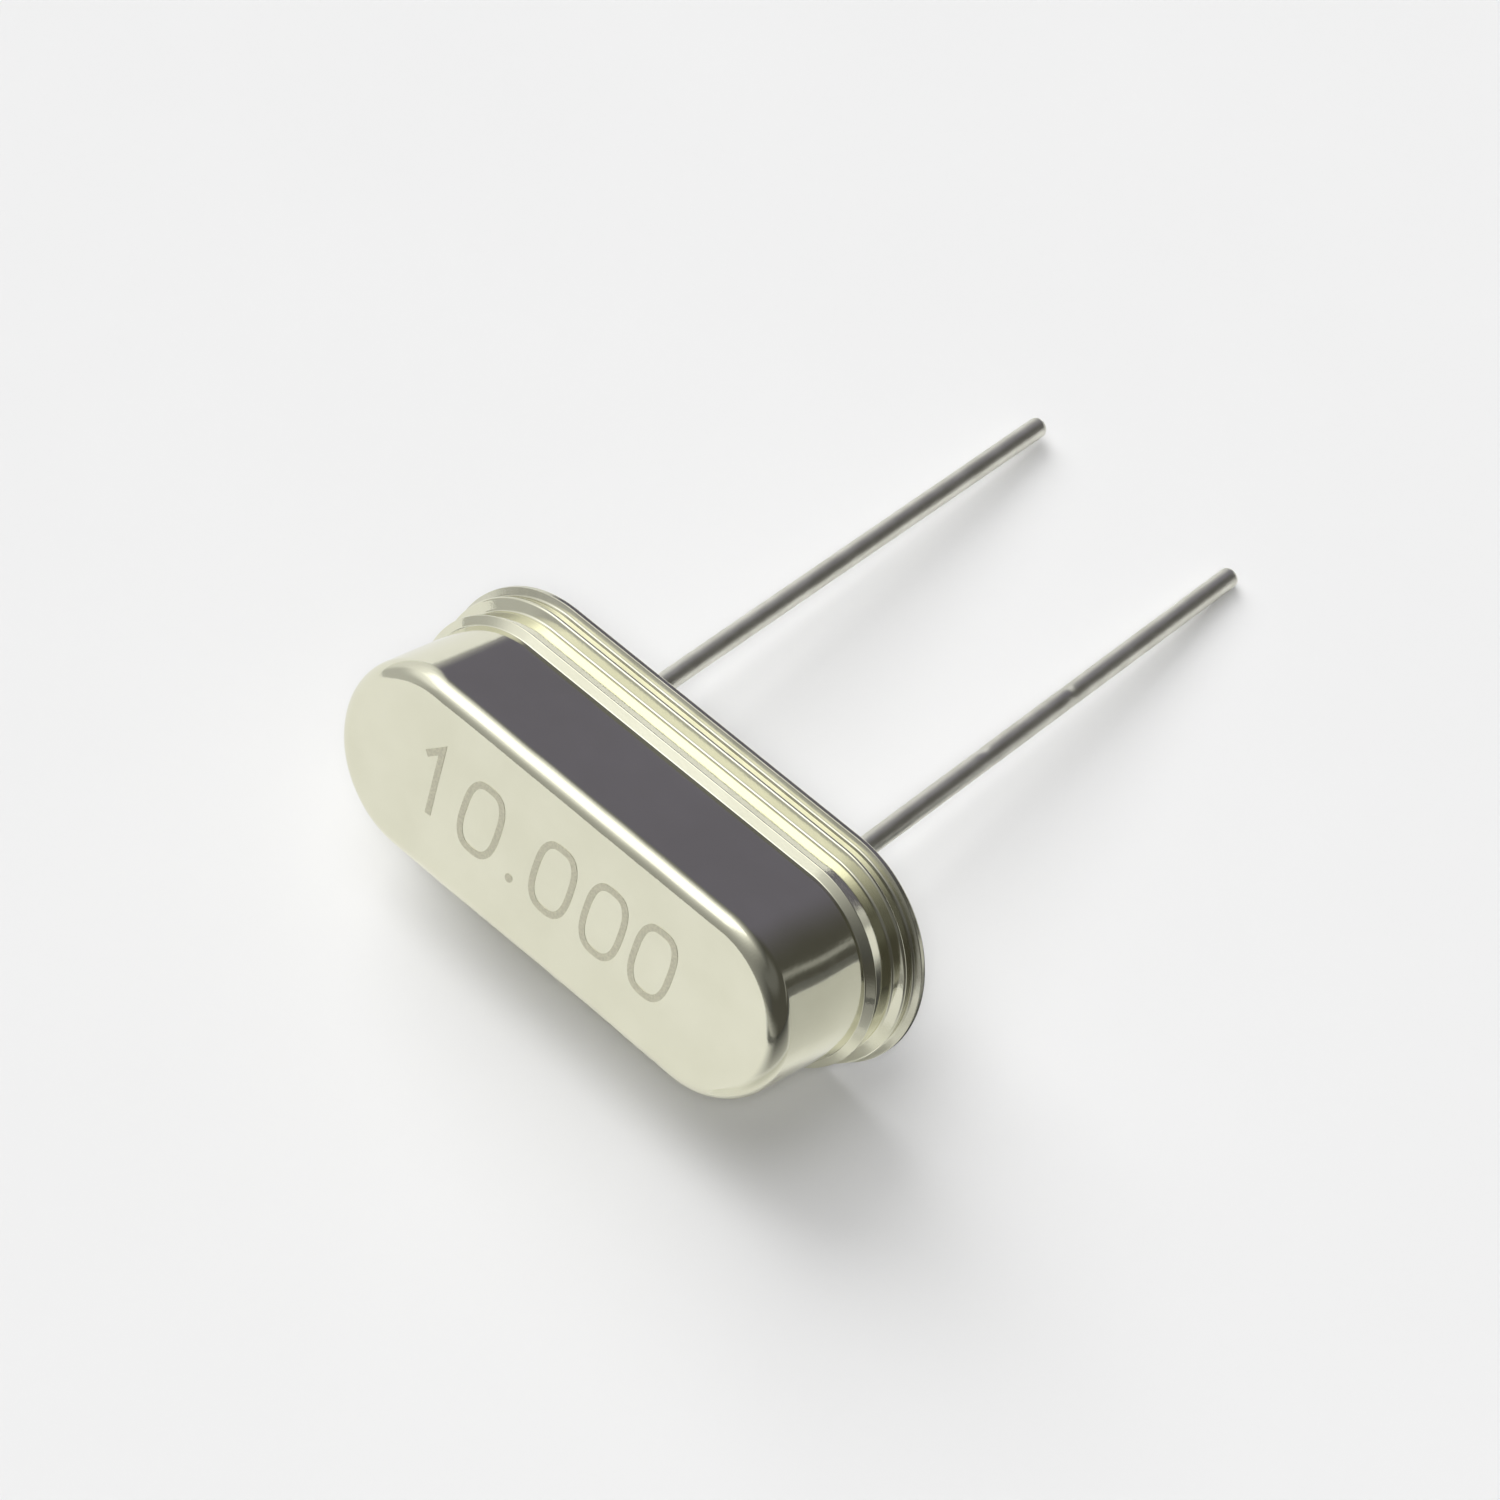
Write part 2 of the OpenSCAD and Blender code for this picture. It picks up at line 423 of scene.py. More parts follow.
@dataclass(frozen=True)
class Circle(Rail):
    """A path of no size of its own, which turns a section about an upright line."""

    centre: np.ndarray
    parts: int = 72

    def stations(self) -> np.ndarray:
        """Rows of (x, y, out x, out y) round a full turn.

        Returns:
            The rows, evenly spaced.
        """
        angle = round_angles(self.parts)
        middle = np.broadcast_to(self.centre, (self.parts, 2))
        return np.column_stack([middle, np.cos(angle), np.sin(angle)])


@dataclass(frozen=True)
class Oblong(Rail):
    """A path round an oblong with round ends."""

    reach: float  # from the middle to the centre of each round end
    turn_parts: int = 72
    straight_parts: int = 66

    def stations(self) -> np.ndarray:
        """Rows of (x, y, out x, out y) round both ends and along both sides.

        Returns:
            The rows, closer together on the ends than on the sides.
        """
        rows = []
        half = math.pi / 2
        for sign in (1, -1):
            for angle in np.linspace(-half, half, self.turn_parts + 1):
                rows.append((sign * self.reach, 0, sign * math.cos(angle), sign * math.sin(angle)))
            run = np.linspace(self.reach, -self.reach, self.straight_parts + 1)[1:-1]
            rows.extend((sign * x, 0, 0, sign) for x in run)
        return np.array(rows, float)


# ---------------------------------------------------------------- finishes


class Nodes:
    """A material's node tree, with short calls to fill it."""

    def __init__(self, name: str, seat: Seat | None = None) -> None:
        """Makes an empty material.

        Args:
            name: The material's name.
            seat: The upright frame that its marks follow, or none for the row frame.
        """
        self.seat = seat
        self.material = bpy.data.materials.new(name)
        self.material.use_nodes = True
        self.tree = self.material.node_tree
        self.tree.nodes.clear()
        self.output = self.add("ShaderNodeOutputMaterial")

    def add(self, kind: str, **settings: object) -> bpy.types.Node:
        """Adds a node.

        Args:
            kind: The node's type.
            settings: Its properties, or its inputs by name with _ for a space.

        Returns:
            The node.
        """
        node = self.tree.nodes.new(kind)
        for key, value in settings.items():
            label = key.replace("_", " ")
            if hasattr(node, key):
                setattr(node, key, value)
            elif label in node.inputs:
                node.inputs[label].default_value = value
            else:
                raise KeyError(f"{kind} has no {key}")
        return node

    def link(self, source: Socket, target: Socket) -> None:
        """Joins an output to an input."""
        self.tree.links.new(source, target)

    def coordinates(self, stretch: tuple[float, float, float] = (1, 1, 1)) -> Socket:
        """Coordinates in the upright frame, scaled along each axis.

        Args:
            stretch: The scale along each axis.

        Returns:
            The coordinates.
        """
        own = self.add("ShaderNodeTexCoord").outputs["Object"]
        if self.seat is not None:
            upright = self.add(
                "ShaderNodeMapping",
                vector_type="TEXTURE",
                Location=self.seat.origin,
                Rotation=self.seat.matrix().to_euler(),
            )
            self.link(own, upright.inputs["Vector"])
            own = upright.outputs["Vector"]
        mapping = self.add("ShaderNodeMapping", Scale=stretch)
        self.link(own, mapping.inputs["Vector"])
        return mapping.outputs["Vector"]

    def noise(self, where: Socket, size: float, detail: float = 3, rough: float = 0.5) -> Socket:
        """Cloudy noise.

        Args:
            where: The coordinates.
            size: Size of its clouds in millimetres.
            detail: How many finer layers it has.
            rough: How strong they are.

        Returns:
            The noise, about 0.3 to 0.7.
        """
        node = self.add("ShaderNodeTexNoise", Scale=1 / (size * MM), Detail=detail, Roughness=rough)
        self.link(where, node.inputs["Vector"])
        return node.outputs["Fac"]

    def spread(self, value: Socket, span: Span, to: Span = (0, 1)) -> Socket:
        """Spreads one range over another, held at its ends.

        Args:
            value: The value.
            span: The range that it is read over.
            to: The range that comes out.

        Returns:
            The new value.
        """
        node = self.add(
            "ShaderNodeMapRange", From_Min=span[0], From_Max=span[1], To_Min=to[0], To_Max=to[1]
        )
        self.link(value, node.inputs["Value"])
        return node.outputs["Result"]

    def blend(self, share: Socket, first: Colour, second: Colour) -> Socket:
        """Blends two colours.

        Args:
            share: How much of the second colour shows.
            first: The first colour.
            second: The second colour.

        Returns:
            The blended colour.
        """
        node = self.add("ShaderNodeMix", data_type="RGBA")
        sockets = {socket.identifier: socket for socket in (*node.inputs, *node.outputs)}
        sockets["A_Color"].default_value = (*first, 1)
        sockets["B_Color"].default_value = (*second, 1)
        self.link(share, sockets["Factor_Float"])
        return sockets["Result_Color"]

    def relief(self, heights: Sequence[tuple[Socket, float]]) -> Socket:
        """Layers of bump.

        Args:
            heights: Each layer's height and its depth in millimetres.

        Returns:
            The normal to shade with.
        """
        below: Socket | None = None
        for height, depth in heights:
            bump = self.add("ShaderNodeBump", Strength=1.0, Distance=depth * MM)
            self.link(height, bump.inputs["Height"])
            if below is not None:
                self.link(below, bump.inputs["Normal"])
            below = bump.outputs["Normal"]
        return below

    def close(self, shader: bpy.types.Node) -> bpy.types.Material:
        """Joins the shader to the output and returns the material."""
        self.link(shader.outputs[0], self.output.inputs["Surface"])
        return self.material


@dataclass(frozen=True)
class Finish:
    """What a surface is made of; each kind of surface adds its own shader."""

    name: str
    tone: Colour

    def shader(self, nodes: Nodes) -> bpy.types.Node:
        """The shader, with everything that feeds it."""
        raise NotImplementedError

    def build(self, seat: Seat) -> bpy.types.Material:
        """Makes the material.

        Args:
            seat: The upright frame that its marks follow.

        Returns:
            The material.
        """
        nodes = Nodes(self.name, seat)
        return nodes.close(self.shader(nodes))


@dataclass(frozen=True)
class Metal(Finish):
    """Plated sheet or wire: a clouded tone, drawing marks along one way, and a fine grain."""

    shade: Colour
    roughness: Span
    cloud: float = 1.2
    haze: float = 0.35  # size of its duller patches, in clouds
    grain_size: float = 0.05
    grain_depth: float = 0.0004
    mark_stretch: tuple[float, float, float] = (1, 1, 0.04)
    mark_size: float = 0.04
    mark_depth: float = 0.0004

    def shader(self, nodes: Nodes) -> bpy.types.Node:
        """The metal's shader.

        Args:
            nodes: The tree that takes its nodes.

        Returns:
            The shader.
        """
        shader = nodes.add("ShaderNodeBsdfPrincipled", Metallic=1.0)
        own = nodes.coordinates()
        clouds = nodes.noise(own, self.cloud, detail=4)
        tint = nodes.blend(nodes.spread(clouds, MID_NOISE), self.shade, self.tone)
        nodes.link(tint, shader.inputs["Base Color"])
        haze = nodes.noise(own, self.cloud * self.haze, detail=5, rough=0.6)
        nodes.link(nodes.spread(haze, MOST_NOISE, self.roughness), shader.inputs["Roughness"])
        grain = nodes.noise(own, self.grain_size, detail=2)
        marks = nodes.noise(nodes.coordinates(self.mark_stretch), self.mark_size)
        layers = [(grain, self.grain_depth), (marks, self.mark_depth)]
        nodes.link(nodes.relief(layers), shader.inputs["Normal"])
        return shader


@dataclass(frozen=True)
class Glass(Finish):
    """Dark seal glass with small bubbles near its surface."""

    shade: Colour
    roughness: float = 0.08
    coat: float = 0.4
    bubble: float = 0.09
    bubble_edge: Span = (0.12, 0.3)
    swirl: float = 0.3
    swirl_depth: float = 0.004

    def shader(self, nodes: Nodes) -> bpy.types.Node:
        """The glass's shader.

        Args:
            nodes: The tree that takes its nodes.

        Returns:
            The shader.
        """
        shader = nodes.add(
            "ShaderNodeBsdfPrincipled", Roughness=self.roughness, IOR=1.52, Coat_Weight=self.coat
        )
        own = nodes.coordinates()
        bubbles = nodes.add("ShaderNodeTexVoronoi", Scale=1 / (self.bubble * MM))
        nodes.link(own, bubbles.inputs["Vector"])
        share = nodes.spread(bubbles.outputs["Distance"], self.bubble_edge)
        nodes.link(nodes.blend(share, self.shade, self.tone), shader.inputs["Base Color"])
        swirl = nodes.noise(own, self.swirl, detail=2)
        nodes.link(nodes.relief([(swirl, self.swirl_depth)]), shader.inputs["Normal"])
        return shader


@dataclass(frozen=True)
class Crystal(Finish):
    """Clear lapped quartz: a faint haze on its faces."""

    clearness: float = 0.9
    roughness: Span = (0.12, 0.3)
    lapping: float = 0.03
    lapping_depth: float = 0.0004

    def shader(self, nodes: Nodes) -> bpy.types.Node:
        """The quartz's shader.

        Args:
            nodes: The tree that takes its nodes.

        Returns:
            The shader.
        """
        shader = nodes.add(
            "ShaderNodeBsdfPrincipled",
            Base_Color=(*self.tone, 1),
            IOR=1.544,
            Transmission_Weight=self.clearness,
        )
        lapping = nodes.noise(nodes.coordinates(), self.lapping, detail=4)
        nodes.link(nodes.spread(lapping, MOST_NOISE, self.roughness), shader.inputs["Roughness"])
        nodes.link(nodes.relief([(lapping, self.lapping_depth)]), shader.inputs["Normal"])
        return shader


@dataclass(frozen=True)
class Paste(Finish):
    """Silver-filled adhesive, or the dull tone a laser leaves: flecks in a matte body."""

    shade: Colour
    metallic: float
    roughness: Span
    fleck: float
    depth: float

    def shader(self, nodes: Nodes) -> bpy.types.Node:
        """The paste's shader.

        Args:
            nodes: The tree that takes its nodes.

        Returns:
            The shader.
        """
        shader = nodes.add("ShaderNodeBsdfPrincipled", Metallic=self.metallic)
        flecks = nodes.noise(nodes.coordinates(), self.fleck, rough=0.6)
        tint = nodes.blend(nodes.spread(flecks, MID_NOISE), self.shade, self.tone)
        nodes.link(tint, shader.inputs["Base Color"])
        nodes.link(nodes.spread(flecks, MOST_NOISE, self.roughness), shader.inputs["Roughness"])
        nodes.link(nodes.relief([(flecks, self.depth)]), shader.inputs["Normal"])
        return shader


CAN_NICKEL = Metal("can_nickel", (0.82, 0.81, 0.65), (0.78, 0.77, 0.61), (0.07, 0.12))
HEADER_NICKEL = Metal(
    "header_nickel", (0.74, 0.73, 0.60), (0.66, 0.65, 0.52), (0.14, 0.24), cloud=0.8
)
LEAD_TIN = Metal(
    "lead_tin",
    (0.82, 0.81, 0.73),
    (0.72, 0.71, 0.63),
    (0.36, 0.46),
    cloud=0.5,
    grain_depth=0.0006,
    mark_stretch=(1, 1, 0.3),
    mark_size=0.12,
    mark_depth=0.0006,
)
SPRING_METAL = Metal("spring_metal", (0.66, 0.62, 0.50), (0.56, 0.52, 0.41), (0.2, 0.32))
SILVER_FILM = Metal("silver_film", (0.88, 0.87, 0.85), (0.80, 0.79, 0.77), (0.1, 0.2), cloud=0.6)
SEAL_GLASS = Glass("seal_glass", (0.035, 0.07, 0.065), (0.09, 0.14, 0.13))
QUARTZ = Crystal("quartz", (0.95, 0.97, 0.97))
SILVER_ADHESIVE = Paste(
    "silver_adhesive", (0.5, 0.48, 0.44), (0.36, 0.34, 0.31), 0.5, (0.5, 0.7), 0.05, 0.006
)
LASER_MARK = Paste(
    "laser_mark", (0.70, 0.68, 0.53), (0.58, 0.56, 0.43), 0.75, (0.38, 0.5), 0.05, 0.001
)


# ---------------------------------------------------------------- the pieces


def dress(piece: bpy.types.Object, material: bpy.types.Material) -> None:
    """Gives a piece one material."""
    piece.data.materials.clear()
    piece.data.materials.append(material)


def place(piece: bpy.types.Object, slot: str, *nodes: str) -> None:
    """Rides a piece on the body, hides the CAD nodes that it stands for, and logs them with its slot.

    Args:
        piece: The object.
        slot: The record's material slot.
        nodes: CAD nodes that it replaces.
    """
    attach(piece, BODY)
    if nodes:
        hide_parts(*nodes)
    triangles = sum(len(face.vertices) - 2 for face in piece.data.polygons)
    LOG.info("%s: %d triangles, slot %s, stands for %s", piece.name, triangles, slot, nodes)


@dataclass(frozen=True)
class Ripple:
    """The slight unevenness of drawn sheet: long waves that only ever sink into the metal."""

    depth: float
    length: float
    seed: int
    waves: int = 9
    mix: Span = (0.6, 1.5)  # how many times in a length the slowest and the quickest wave swing

    def bend(self, points: np.ndarray, normals: np.ndarray, share: np.ndarray) -> Patch:
        """Sinks the points along their normals and turns the normals to match.

        Args:
            points: Points in millimetres.
            normals: Their normals.
            share: How much of the depth applies at each point.

        Returns:
            The new points and normals.
        """
        rng = np.random.default_rng(self.seed)
        ways = unit(rng.normal(size=(self.waves, 3))) * (2 * math.pi / self.length)
        ways *= rng.uniform(*self.mix, size=(self.waves, 1))
        phases = rng.uniform(0, 2 * math.pi, self.waves)
        swing = self.depth / self.waves
        turns = points @ ways.T + phases
        height = (swing * (np.sin(turns) - 1)).sum(-1) * share
        slope = (swing * np.cos(turns)) @ ways * share[..., None]
        along = (slope * normals).sum(-1, keepdims=True) * normals
        return points + normals * height[..., None], unit(normals - (slope - along))


@dataclass
class Can:
    """Drawn cover: flat top, rounded crown, straight wall, shoulder and welded lip."""

    seat: Seat
    length: float = 10.3
    width: float = 3.66
    height: float = 3.08
    wall: float = 0.2
    crown: float = 0.37
    lip_width: float = 0.3
    foot: float = 0.25  # level of the flange it stands on
    skirt: Corners = (
        (1.83, 1.134, 0.03),
        (1.981, 1.034, 0.021),
        (1.888, 0.510, 0.053),
        (2.128, 0.439, 0.046),
        (2.075, 0.25, 0.0),
    )
    wall_end: float = 0.3  # how far over the shoulder the straight wall's even rows end
    ripple: Ripple = Ripple(depth=0.03, length=5.0, seed=11)
    pebble: Ripple = Ripple(depth=0.005, length=1.2, seed=23)
    ripple_start: Span = (-0.1, 0.4)  # from the shoulder up

    @property
    def half(self) -> float:
        """Half the width of the straight wall."""
        return self.width / 2

    @property
    def top(self) -> float:
        """Level of the flat top."""
        return self.foot + self.height

    @property
    def path(self) -> Oblong:
        """The path that its sections follow."""
        return Oblong((self.length - self.width) / 2)

    def outside(self) -> list[Run]:
        """The outer half section, from the middle of the top to the lip's lower edge.

        Returns:
            The section's runs.
        """
        middle = (self.half - self.crown, self.top - self.crown)
        section = Section((0.0, self.top))
        section.line(middle[0], self.top, parts=14)
        section.arc(middle, self.crown, 90, 0, parts=16)
        section.line(self.half, self.skirt[0][1] + self.wall_end, parts=16)
        section.through(self.skirt)
        return section.arrays()

    def inside(self) -> list[Run]:
        """The inner half section, from the lip's lower edge back to the middle.

        Returns:
            The section's runs.
        """
        inner = self.half - self.wall
        ceiling, bend = self.top - self.wall, self.crown - self.wall
        section = Section(self.skirt[-1][:2])
        section.line(inner, self.foot)
        section.line(inner, ceiling - bend, parts=2)
        section.arc((inner - bend, ceiling - bend), bend, 0, 90, Corner.HOLLOW, parts=6)
        section.line(0.0, ceiling)
        return section.arrays()

    def unevenness(self, points: np.ndarray, normals: np.ndarray) -> Patch:
        """The sheet's ripple, which dies out towards the shoulder.

        Args:
            points: Points in upright millimetres.
            normals: Their normals.

        Returns:
            The new points and normals.
        """
        share = smooth_step(*self.ripple_start, points[..., 2] - self.skirt[0][1])
        points, normals = self.ripple.bend(points, normals, share)
        return self.pebble.bend(points, normals, share)

    def build(self) -> bpy.types.Object:
        """Builds the cover and dresses it.

        Returns:
            The cover's object.
        """
        skin = Skin()
        self.path.sweep(skin, self.outside(), self.unevenness)
        self.path.sweep(skin, self.inside())
        piece = skin.build("can_cover", self.seat)
        dress(piece, CAN_NICKEL.build(self.seat))
        place(piece, "can_nickel", "can")
        return piece


@dataclass
class Header:
    """Base: a flange and a raised middle in one stamping, with an eyelet for each seal."""

    seat: Seat
    can: Can
    margin: float = 0.075
    thickness: float = 0.25
    rim: Corners = (
        (2.052, 0.170, 0.052),
        (2.197, 0.122, 0.068),
        (2.205, 0.116, 0.053),
        (2.205, 0.05, 0.0),
    )
    plateau: float = 0.8
    gap: float = 0.1
    plateau_edge: float = 0.12
    eyelet: float = 1.46
    eyelet_edge: float = 0.05

    @property
    def half(self) -> float:
        """Half the width of the flange."""
        return self.can.half + self.can.lip_width + self.margin

    @property
    def top(self) -> float:
        """Level of the raised middle."""
        return self.thickness + self.plateau

    def build(self, pitch: float) -> bpy.types.Object:
        """Builds the base and dresses it.

        Args:
            pitch: Distance between the eyelets' middles.

        Returns:
            The base's object.
        """
        skin, path = Skin(), self.can.path
        step = self.can.half - self.can.wall - self.gap
        shelf = step - self.plateau_edge
        section = Section((shelf, self.top))
        section.arc((shelf, self.top - self.plateau_edge), self.plateau_edge, 90, 0)
        section.line(step, self.thickness)
        section.line(self.can.skirt[-1][0], self.thickness)
        section.through(self.rim)
        edge = self.rim[-1][1]
        section.arc((self.half - edge, edge), edge, 0, -90)
        path.sweep(skin, section.arrays())
        hole = self.eyelet / 2
        mouth = hole + self.eyelet_edge
        bore = Section((mouth, 0.0))
        bore.arc((mouth, self.eyelet_edge), self.eyelet_edge, 270, 180)
        bore.line(hole, self.top)
        eyelets = [Circle(np.array([end.value * pitch / 2, 0.0])) for end in End]
        for eyelet in eyelets:
            eyelet.sweep(skin, bore.arrays())
        below = [eyelet.ring(mouth, 0.0) for eyelet in eyelets]
        above = [eyelet.ring(hole, self.top) for eyelet in eyelets]
        skin.add_plate([path.ring(self.half - edge, 0.0), *below], -UP)
        skin.add_plate([path.ring(shelf, self.top), *above], UP)
        piece = skin.build("header_base", self.seat)
        dress(piece, HEADER_NICKEL.build(self.seat))
        place(piece, "header_nickel", "base")
        return piece


@dataclass(frozen=True)
class Nick:
    """A small dent in a lead, centred a distance along it and at a bearing round it, in radians."""

    along: float
    bearing: float
    depth: float
    length: float
    width: float  # in radians


@dataclass
class Lead:
    """Wire lead: flattened inner head, straight run through the glass, bend and free end."""

    seat: Seat
    record: dict
    end: End
    header_top: float
    nicks: tuple[Nick, ...] = ()
    bend_radius: float = 0.6
    stub: float = 0.15
    head_radius: float = 0.4
    head_thickness: float = 0.12
    tip_edge: float = 0.12
    parts: int = 40
    radius: float = field(init=False)
    reach: float = field(init=False)  # length of the straight run past the bend
    angle: float = field(init=False)  # of the bend
    splay: float = field(init=False)  # how far the bend turns to the left
    root: np.ndarray = field(init=False)  # x and y of the wire where it leaves the glass

    def __post_init__(self) -> None:
        """Reads the straight run's place, aim, length and radius off the lead's mount."""
        mount = find_mount(self.record, self.label)
        self.radius = mount["dims"]["r_mm"]
        self.reach = mount["dims"]["length_mm"]
        aim = self.seat.turned(mount["axis"])
        self.angle = math.acos(-aim[2])
        self.splay = math.atan2(-aim[0], aim[1])
        out = self.bend_radius * (1 - math.cos(self.angle)) + self.reach / 2 * math.sin(self.angle)
        middle = self.seat.local(mount["pos_m"])
        self.root = np.array([middle[0] + out * math.sin(self.splay), 0.0])

    @property
    def label(self) -> str:
        """The lead's CAD node and mount."""
        return f"lead_{self.end.name.lower()}"

    def line(self, along: np.ndarray) -> tuple[np.ndarray, np.ndarray]:
        """Points of the wire's middle line.

        Args:
            along: Distances from the seating plane, down towards the tip, in millimetres.

        Returns:
            The points, and the directions towards the tip.
        """
        arc = self.bend_radius * self.angle
        turned = np.clip((along - self.stub) / self.bend_radius, 0, self.angle)
        past = np.maximum(along - self.stub - arc, 0)
        out = self.bend_radius * (1 - np.cos(turned)) + past * math.sin(self.angle)
        level = -np.minimum(along, self.stub)
        level -= self.bend_radius * np.sin(turned) + past * math.cos(self.angle)
        side = np.array([-math.sin(self.splay), math.cos(self.splay)])
        points = np.column_stack([self.root[0] + out * side[0], out * side[1], level])
        aims = np.column_stack([np.sin(turned) * side[0], np.sin(turned) * side[1], -np.cos(turned)])
        return points, aims

    def outline(self) -> list[Run]:
        """The wire's radius along its length, as a section with level counted towards the tip.

        Returns:
            The section's runs.
        """
        head, neck = -self.header_top - self.head_thickness, -self.header_top
        bow = self.stub + self.bend_radius * self.angle
        finish = bow + self.reach
        section = Section((0.0, head), side=-1)
        section.line(self.head_radius, head)
        section.line(self.head_radius, neck)
        section.line(self.radius, neck)
        section.line(self.radius, self.stub, parts=4)
        section.line(self.radius, bow, parts=8)
        section.line(self.radius, finish - self.tip_edge, parts=220)
        tip = (self.radius - self.tip_edge, finish - self.tip_edge)
        section.arc(tip, self.tip_edge, 0, 90, parts=6)
        section.line(0.0, finish)
        return section.arrays()

    def dented(self, run: Run, angles: np.ndarray) -> tuple[np.ndarray, np.ndarray]:
        """A run of the wire's outline with the nicks pressed into it.

        Args:
            run: The outline's run.
            angles: Bearings round the wire.

        Returns:
            Radius, and how far the normal leans towards the tip, at each bearing and point.
        """
        radius, lean = (np.tile(run[:, k], (len(angles), 1)) for k in (0, 3))
        body = smooth_step(0, self.radius, run[:, 0])
        for nick in self.nicks:
            away = (angles[:, None] - nick.bearing + math.pi) % (2 * math.pi) - math.pi
            near = (run[:, 1] - nick.along) / nick.length
            dent = nick.depth * np.exp(-(near**2) - (away / nick.width) ** 2) * body
            radius -= dent
            lean -= 2 * near / nick.length * dent
        return radius, lean

    def build(self) -> bpy.types.Object:
        """Builds the lead and dresses it.

        Returns:
            The lead's object.
        """
        skin = Skin()
        angles = round_angles(self.parts)
        first = np.array([math.cos(self.splay), math.sin(self.splay), 0.0])
        for run in self.outline():
            middle, aims = self.line(run[:, 1])
            second = np.cross(aims, first)
            radius, lean = self.dented(run, angles)
            around = np.cos(angles)[:, None, None] * first + np.sin(angles)[:, None, None] * second
            points = middle + around * radius[..., None]
            normals = around * run[:, 2, None] + aims * lean[..., None]
            skin.add_grid(points, unit(normals), closed=True)
        piece = skin.build(f"wire_{self.label}", self.seat)
        dress(piece, LEAD_TIN.build(self.seat))
        place(piece, "lead_tin", self.label)
        return piece


@dataclass
class Seal:
    """Glass in an eyelet, with a hollow face that creeps up the metal and the wire."""

    seat: Seat
    lead: Lead
    header: Header
    recess: float = 0.04
    hollow: float = 0.1
    hollow_power: float = 2.6  # 2 is a parabola; more gives a flatter floor and steeper sides
    face_rows: int = 25

    def face(self) -> Run:
        """The hollow face, from the metal in to the wire.

        Returns:
            The face's run.
        """
        inner, outer = self.lead.radius, self.header.eyelet / 2
        across = np.linspace(outer, inner, self.face_rows)
        off_middle = np.abs(2 * (across - inner) / (outer - inner) - 1)
        dip = self.recess + self.hollow * (1 - off_middle**self.hollow_power)
        normals = unit(np.column_stack([np.gradient(dip, across), -np.ones_like(dip)]))
        return np.column_stack([across, dip, normals])

    def build(self) -> bpy.types.Object:
        """Builds the seal and dresses it.

        Returns:
            The seal's object.
        """
        inner, outer, top = self.lead.radius, self.header.eyelet / 2, self.header.top
        outside = Section((inner, top)).line(outer, top).line(outer, self.recess)
        inside = Section((inner, self.recess)).line(inner, top)
        skin = Skin()
        runs = [*outside.arrays(), self.face(), *inside.arrays()]
        Circle(self.lead.root).sweep(skin, runs)
        side = self.lead.end.name.lower()
        piece = skin.build(f"seal_{side}", self.seat)
        dress(piece, SEAL_GLASS.build(self.seat))
        place(piece, "seal_glass", f"glass_seal_{side}")
        return piece


class Glyph(Enum):
    """The characters of the marking."""

    ONE = "1"
    ZERO = "0"
    POINT = "."


